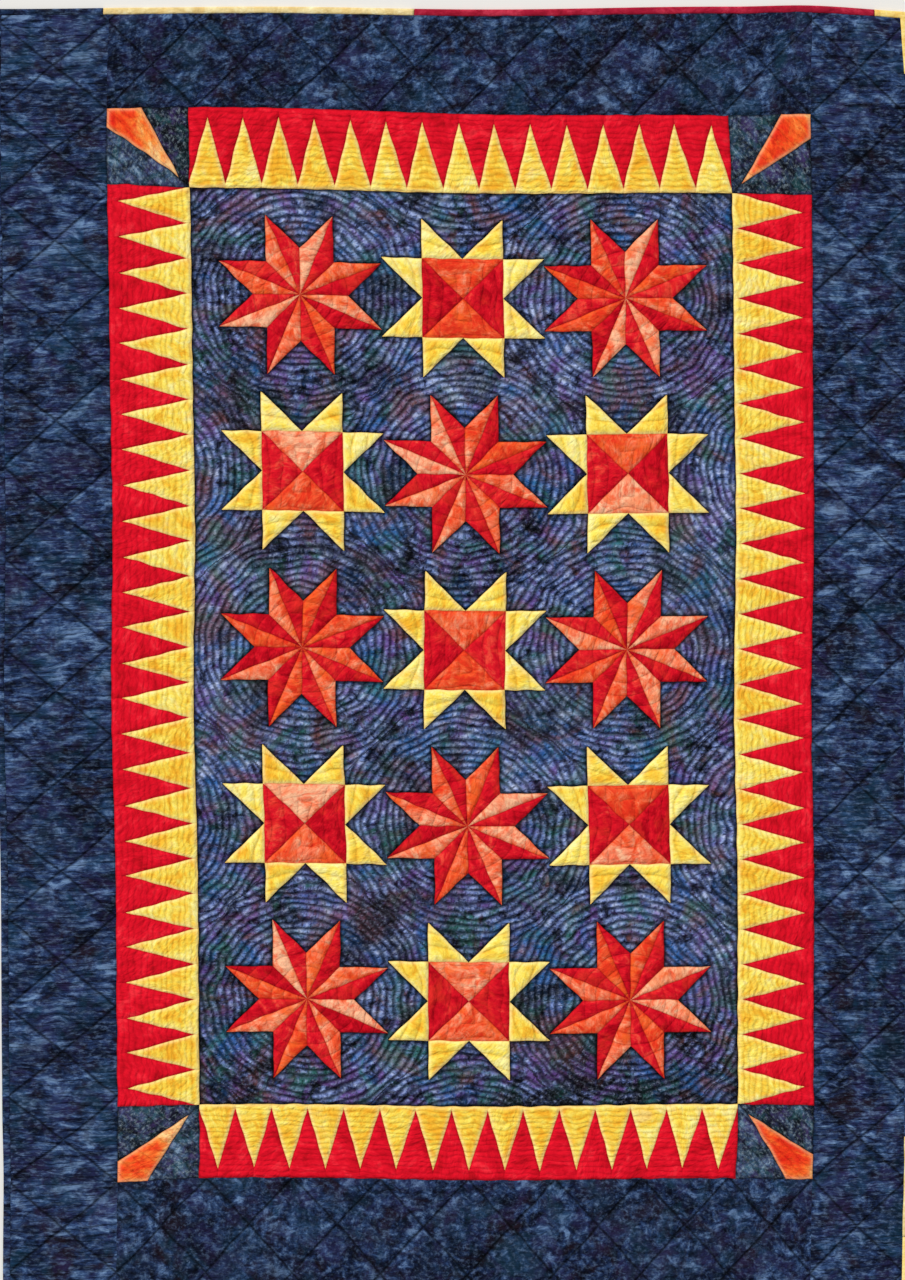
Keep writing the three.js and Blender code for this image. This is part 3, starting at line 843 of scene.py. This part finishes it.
bindingCloths = {
    "navy": finishes["navy"],
    "straw": {
        "ramp": [(0.0, dye(226, 176, 84)), (0.5, dye(246, 212, 118)), (1.0, dye(255, 236, 166))],
        "fleck": (dye(214, 164, 78), 0.30), "draw": 1.2, "pools": [(dye(250, 226, 150), 0.40, 0.040)], **trimCloth,
    },
    # the binding's red is darker than the face's crimson as painted shade for the rounded fold of the binding
    "garnet": {
        "ramp": [(0.0, dye(132, 14, 36)), (0.5, dye(168, 28, 54)), (1.0, dye(204, 60, 84))],
        "fleck": (dye(120, 10, 34), 0.35), "draw": 1.5, "pools": [(dye(150, 18, 50), 0.40, 0.060)], **trimCloth,
    },
    "cream": {
        "ramp": [(0.0, dye(204, 172, 108)), (0.5, dye(232, 208, 146)), (1.0, dye(250, 238, 190))],
        "fleck": (dye(204, 166, 104), 0.30), "draw": 1.2, "pools": [(dye(244, 206, 132), 0.50, 0.040)], **trimCloth,
    },
}
cotton = {
    "specular": 0.05, "sheen": 0.02, "sheenRoughness": 0.5, "rough": (0.80, 0.92), "thread": 0.00055,
    "weaveRelief": 0.00007, "fleckRelief": 0.00014,
}


def makeFinish(name, look, patched=True):
    material = bpy.data.materials.new(name + "Cotton")
    material.use_nodes = True
    tree = material.node_tree
    shader = tree.nodes["Principled BSDF"]
    setSockets(tree, shader, {
        "Specular IOR Level": cotton["specular"], "Sheen Weight": cotton["sheen"],
        "Sheen Roughness": cotton["sheenRoughness"]})
    place = (put(tree, "UVMap", uv_map="grain").outputs[0] if patched
             else put(tree, "TexCoord").outputs["Object"])
    dyed = useGroup(tree, effects["mottle"], {
        "Place": place, "Size": look["size"], "Draw": look["draw"], "Swirl": look["swirl"], "Spread": look["spread"]})
    cloud = dyed["Cloud"]
    if patched:
        tone = put(tree, "Attribute", attribute_name="tone").outputs["Fac"]
        move = calc(tree, "MULTIPLY", calc(tree, "SUBTRACT", tone, 0.5), look["toneReach"])
        cloud = calc(tree, "ADD", cloud, move, clamp=True)
    ramp = put(tree, "ValToRGB", {0: cloud})
    stops = ramp.color_ramp.elements
    for stop, (position, colour) in zip([stops[0], stops[1]], (look["ramp"][0], look["ramp"][-1])):
        stop.position, stop.color = position, colour
    for position, colour in look["ramp"][1:-1]:
        stops.new(position).color = colour
    colour = ramp.outputs[0]
    for number, (pool, share, size) in enumerate(look["pools"]):
        mask = useGroup(tree, effects["drift"], {"Place": place, "Size": size, "Seed": 3.7 * (number + 1)})["Mask"]
        colour = blend(tree, calc(tree, "MULTIPLY", mask, share), colour, pool)
    fleck, share = look["fleck"]
    colour = blend(tree, calc(tree, "MULTIPLY", dyed["Fleck"], share), colour, fleck)
    weave = useGroup(tree, effects["weave"], {"Place": place, "Thread": cotton["thread"]})["Height"]
    width, draw, depth = look["wrinkle"]
    folds = useGroup(tree, effects["wrinkle"], {"Place": place, "Width": width, "Draw": draw})["Height"]
    relief = calc(tree, "MULTIPLY", weave, cotton["weaveRelief"])
    relief = calc(tree, "MULTIPLY_ADD", dyed["Fleck"], cotton["fleckRelief"], relief)
    relief = calc(tree, "MULTIPLY_ADD", folds, depth, relief)
    if patched:
        seamGap = put(tree, "Attribute", attribute_name="seamGap").outputs["Fac"]
        lines = put(tree, "Attribute", attribute_name="stitches").outputs["Vector"]
        if name == "ground":
            stitchGap = useGroup(tree, effects["bricks"], {
                "Lines": lines, "Pitch": arcs["pitch"], "Brick": arcs["brick"]})["Gap"]
        else:
            stitchGap = useGroup(tree, effects["lines"], {"Lines": lines})["Gap"]
        if "rim" in look:
            pale, share, reach = look["rim"]
            inner = useGroup(tree, effects["groove"], {"Gap": seamGap, "Width": reach, "Depth": share})["Shade"]
            colour = blend(tree, calc(tree, "SUBTRACT", 1.0, inner), colour, pale)
        # painted shade down in the seams and along the stitched lines, multiplied into the colour and tinted by ditch
        paintedShades = []
        for gap, (width, depth) in ((seamGap, look["seam"]), (stitchGap, look["stitch"][:2])):
            ditch = useGroup(tree, effects["groove"], {"Gap": gap, "Width": width, "Depth": depth})
            paintedShades.append(ditch["Shade"])
        relief = calc(tree, "MULTIPLY_ADD", ditch["Height"], look["stitch"][2], relief)
        paintedShade = calc(tree, "MULTIPLY", *paintedShades)
        dark = put(tree, "CombineColor", {
            part: calc(tree, "POWER", paintedShade, power)
            for part, power in enumerate(look.get("ditch", (1.0, 1.0, 1.0)))}).outputs[0]
        colour = blend(tree, 1.0, colour, dark, "MULTIPLY")
    tree.links.new(colour, shader.inputs["Base Color"])
    smoothest, roughest = cotton["rough"]
    rough = put(tree, "MapRange", {0: dyed["Fleck"], 3: smoothest, 4: roughest}).outputs[0]
    tree.links.new(rough, shader.inputs["Roughness"])
    bump = put(tree, "Bump", {"Height": relief, "Distance": 1.0, "Strength": 1.0}).outputs[0]
    tree.links.new(bump, shader.inputs["Normal"])
    return material


finishMaterials = {name: makeFinish(name, look) for name, look in finishes.items()}
edgeMaterials = {name: makeFinish(name + "Edge", look, patched=False) for name, look in bindingCloths.items()}
print("finishes made")

# The quilt's face

fieldSides = seamsU[2], seamsU[3], seamsV[2], seamsV[3]


def cutField():
    stars, ground = [], {"lower": [], "upper": []}
    left, right, bottom, top = fieldSides
    margin = plan["fieldMargin"]
    for row in range(plan["blockRows"]):
        part = ground["lower" if row < 2 else "upper"]
        middle = firstCentre[1] + row * blockPitch[1]
        for column in range(plan["blockColumns"]):
            centre = (firstCentre[0] + column * blockPitch[0], middle)
            bright, dark = (splitStar if (row + column) % 2 == 0 else sawtoothStar)(centre)
            stars += bright
            part += dark
        if row < plan["blockRows"] - 1:
            low = middle + plan["block"] / 2
            part.append(groundPatch(rectangle(left + margin, right - margin, low, low + plan["rowStrip"])))
    ground["lower"].append(groundPatch(rectangle(left + margin, right - margin, bottom, bottom + margin)))
    ground["upper"].append(groundPatch(rectangle(left + margin, right - margin, top - margin, top)))
    for low, high in ((left, left + margin), (right - margin, right)):
        ground["lower"].append(groundPatch(rectangle(low, high, bottom, halfwayUp)))
        ground["upper"].append(groundPatch(rectangle(low, high, halfwayUp, top)))
    return stars, ground


def cutSpikes():
    left, right, bottom, top = fieldSides
    across, up = plan["spikesAcross"], plan["spikesUp"]
    return (spikeStrip((left, bottom), (1, 0), (0, -1), across) + spikeStrip((left, top), (1, 0), (0, 1), across)
            + spikeStrip((left, bottom), (0, 1), (-1, 0), up) + spikeStrip((right, bottom), (0, 1), (1, 0), up))


starPatches, groundPatches = cutField()
spikePatches = cutSpikes()
cornerSet = [patch for cut in cornerCuts for patch in cornerPatches(cut)]
tuck = 0.0014  # how far the cloth's edge stays inside the fold of the binding
outerPatches = [
    cutPatch(rectangle(tuck, seamsU[1], tuck, quiltLength - tuck), "navy", tone=0.5, turn=0),
    cutPatch(rectangle(seamsU[4], quiltWidth - tuck, tuck, quiltLength - tuck), "navy", tone=0.5, turn=0),
    # the end strips take the darker navy and a lower tone: painted shade for the quilt's dimmer top and bottom
    cutPatch(rectangle(seamsU[1], seamsU[4], tuck, seamsV[1]), "navyEndsShaded", tone=0.32, turn=0.15),
    cutPatch(rectangle(seamsU[1], seamsU[4], seamsV[4], quiltLength - tuck), "navyEndsShaded", tone=0.32, turn=-0.1),
]

sideNames = ("bottom", "top", "left", "right")
cornerNames = ("bottom_left", "bottom_right", "top_left", "top_right")
facePieces = [  # name, kind, patches, finishes, CAD nodes and slot
    ("fieldGroundLower", "ground", groundPatches["lower"], ["ground"], ["field_panel"], "ground_batik"),
    ("fieldGroundUpper", "ground", groundPatches["upper"], ["ground"], ["field_panel"], "ground_batik"),
    ("fieldStars", "star", starPatches, ["gold", "scarlet", "sunset"], ["field_panel"], "crimson_cotton"),
    ("spikeBorder", "spike", spikePatches, ["gold", "crimson"],
     ["spike_border_" + side for side in sideNames], "golden_cotton"),
    ("cornerBlocks", "corner", cornerSet, ["kite", "dusk"],
     ["corner_block_" + corner for corner in cornerNames], "orange_cotton"),
    ("outerBorder", "outer", outerPatches, ["navy", "navyEndsShaded"],
     ["outer_border_" + side for side in sideNames], "navy_batik"),
]

# The back: one plain cloth that the stitching draws up a little

backCloth = {
    "step": 0.008, "lift": 0.0009, "liftReach": 0.006, "clear": 0.0002, "edgeLift": 0.0012, "pastFold": 0.002,
}


def makeBack():
    grid = trimmedGrid(rectangle(tuck, quiltWidth - tuck, tuck, quiltLength - tuck), backCloth["step"])
    bmesh.ops.reverse_faces(grid, faces=grid.faces[:])
    mesh = bpy.data.meshes.new("quiltBack")
    grid.to_mesh(mesh)
    grid.free()
    flat = readFlat(mesh)
    u, v = flat[:, 0], flat[:, 1]
    lift = backCloth["lift"] * np.exp(-hatchQuilting(u, v)[1] / backCloth["liftReach"])
    underBinding = edgeDistance(u, v) < bindingWidth + backCloth["pastFold"]
    layDown(mesh, flat, np.where(underBinding, backCloth["edgeLift"], backCloth["clear"] + lift))
    return addPiece("quiltBack", mesh, [edgeMaterials["navy"]])


# The binding: a soft double fold over the edge, pieced from lengths of four cloths

fold = {  # wobbles are the sizes and lengths of the unevenness along it
    "width": bindingWidth, "height": 0.0048, "lift": 0.0001, "step": 0.004, "around": 18, "gap": 0.0002,
    "mitre": 0.001, "roundness": 2.4, "wobbles": ((0.05, 0.021), (0.04, 0.0083)),
}
bindingLengths = [  # node, cloth, start side and share of it, end side and share, counterclockwise
    ("binding_bottom_navy", "navy", (0, 0.024), (0, 0.958)),
    ("binding_low_corner_gold", "straw", (0, 0.958), (1, 0.038)),
    ("binding_right_cream", "cream", (1, 0.038), (1, 0.118)),
    ("binding_right_navy", "navy", (1, 0.118), (1, 0.951)),
    ("binding_top_corner_gold", "straw", (1, 0.951), (2, 0.040)),
    ("binding_top_red", "garnet", (2, 0.040), (2, 0.5515)),
    ("binding_top_cream", "cream", (2, 0.5515), (2, 0.8895)),
    ("binding_top_navy", "navy", (2, 0.8895), (3, 0.018)),
    ("binding_left_navy", "navy", (3, 0.018), (0, 0.024)),
]
sideLengths = (quiltWidth, quiltLength, quiltWidth, quiltLength)


def edgePoint(side, place, inward):
    return ((place, inward), (quiltWidth - inward, place),
            (quiltWidth - place, quiltLength - inward), (inward, quiltLength - place))[side]


def bindingStations(start, end):
    # pairs of side and place along it, with None for the place of a mitred corner
    def run(side, low, high):
        steps = max(2, round((high - low) / fold["step"]))
        return [(side, low + (high - low) * i / steps) for i in range(steps + 1)]

    (fromSide, fromShare), (toSide, toShare) = start, end
    low = fromShare * sideLengths[fromSide] + fold["gap"]
    high = toShare * sideLengths[toSide] - fold["gap"]
    if fromSide == toSide:
        return run(fromSide, low, high)
    clear = fold["width"] + fold["mitre"]
    return run(fromSide, low, sideLengths[fromSide] - clear) + [(toSide, None)] + run(toSide, clear, high)


def makeBinding(name, finish, start, end):
    stations = bindingStations(start, end)
    around = fold["around"]
    tube = bmesh.new()
    bmesh.ops.create_grid(tube, size=0.5, x_segments=len(stations) - 1, y_segments=around)
    chance = random.Random(name)
    wobbles = [(size, length, chance.uniform(0, 6.28)) for size, length in fold["wobbles"]]
    power = 2 / fold["roundness"]
    flat, heights = [], []
    for vert in tube.verts:
        side, place = stations[round((vert.co.x + 0.5) * (len(stations) - 1))]
        turn = 2 * math.pi * round((vert.co.y + 0.5) * around) / around
        run = sideLengths[side - 1] if place is None else place
        soft = sum((size * math.sin(run / length + start) for size, length, start in wobbles), 1)
        reach = [math.copysign(abs(part) ** power, part) for part in (-math.sin(turn), -math.cos(turn))]
        inward = fold["width"] / 2 * (1 + reach[0] * (soft if reach[0] > 0 else 1))
        heights.append(fold["height"] / 2 * (1 + reach[1] * (soft if reach[1] > 0 else 1)) + fold["lift"])
        flat.append(edgePoint(side, inward if place is None else place, inward))
    for vert, x, y, height in zip(tube.verts, *lieAt(*np.array(flat).T), heights):
        vert.co = (x, y, height)
    bmesh.ops.remove_doubles(tube, verts=tube.verts[:], dist=1e-6)
    rims = [edge for edge in tube.edges if edge.is_boundary]
    bmesh.ops.holes_fill(tube, edges=rims, sides=0)
    bmesh.ops.recalc_face_normals(tube, faces=tube.faces[:])
    mesh = bpy.data.meshes.new(name)
    tube.to_mesh(mesh)
    tube.free()
    mesh.polygons.foreach_set("use_smooth", [len(face.vertices) == 4 for face in mesh.polygons])
    return addPiece("fold_" + name, mesh, [edgeMaterials[finish]])


for node, finish, start, end in bindingLengths:
    piece = makeBinding(node, finish, start, end)
    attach(piece, "root")
    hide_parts(node)
print("binding folded on")

back = makeBack()
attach(back, "root")
print("back laid down")

for name, kind, patches, used, nodes, slot in facePieces:
    piece = sewTogether(name, kind, patches, used)
    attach(piece, "root")
    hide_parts(*nodes)
    area = sum(polygonArea(patch["corners"]) for patch in patches)
    print(name, len(patches), "patches,", sum(len(face.vertices) - 2 for face in piece.data.polygons), "triangles")

# Floor, light and camera

studio = {
    "floorSize": 14, "floorDepth": 0.0006, "floorColour": dye(232, 230, 226), "floorRoughness": 0.9,
    "sky": (0.93, 0.96, 1.0, 1), "skyStrength": 0.34,
    "sun": 3.25, "sunWidth": 12, "sunColour": (1.0, 0.985, 0.96), "sunLean": -34,
}
view = {"middle": (-0.0013, 0.0114), "height": 1.8304, "far": 9.0, "sensor": 36, "clip": 100}

floorGrid = bmesh.new()
bmesh.ops.create_grid(
    floorGrid, size=studio["floorSize"], x_segments=1, y_segments=1,
    matrix=Matrix.Translation((0, 0, -studio["floorDepth"])))
floorMesh = bpy.data.meshes.new("floor")
floorGrid.to_mesh(floorMesh)
floorGrid.free()
paleFloor = bpy.data.materials.new("paleFloor")
paleFloor.use_nodes = True
setSockets(paleFloor.node_tree, paleFloor.node_tree.nodes["Principled BSDF"], {
    "Base Color": studio["floorColour"], "Roughness": studio["floorRoughness"]})
addPiece("floor", floorMesh, [paleFloor])

world = bpy.data.worlds.new("studio")
world.use_nodes = True
setSockets(world.node_tree, world.node_tree.nodes["Background"], {
    "Color": studio["sky"], "Strength": studio["skyStrength"]})
bpy.context.scene.world = world
bpy.context.scene.view_settings.view_transform = "Standard"

sun = bpy.data.lights.new("key", "SUN")
sun.energy = studio["sun"]
sun.angle = math.radians(studio["sunWidth"])
sun.color = studio["sunColour"]
key = bpy.data.objects.new("key", sun)
key.rotation_euler = (math.radians(studio["sunLean"]), math.radians(studio["sunLean"]), 0)
bpy.context.collection.objects.link(key)

lens = bpy.data.cameras.new("above")
lens.sensor_fit = "VERTICAL"
lens.sensor_height = view["sensor"]
lens.lens = view["sensor"] * view["far"] / view["height"]
lens.clip_end = view["clip"]
camera = bpy.data.objects.new("above", lens)
camera.location = (*view["middle"], view["far"])
bpy.context.collection.objects.link(camera)
bpy.context.scene.camera = camera
print("floor, light and camera set")
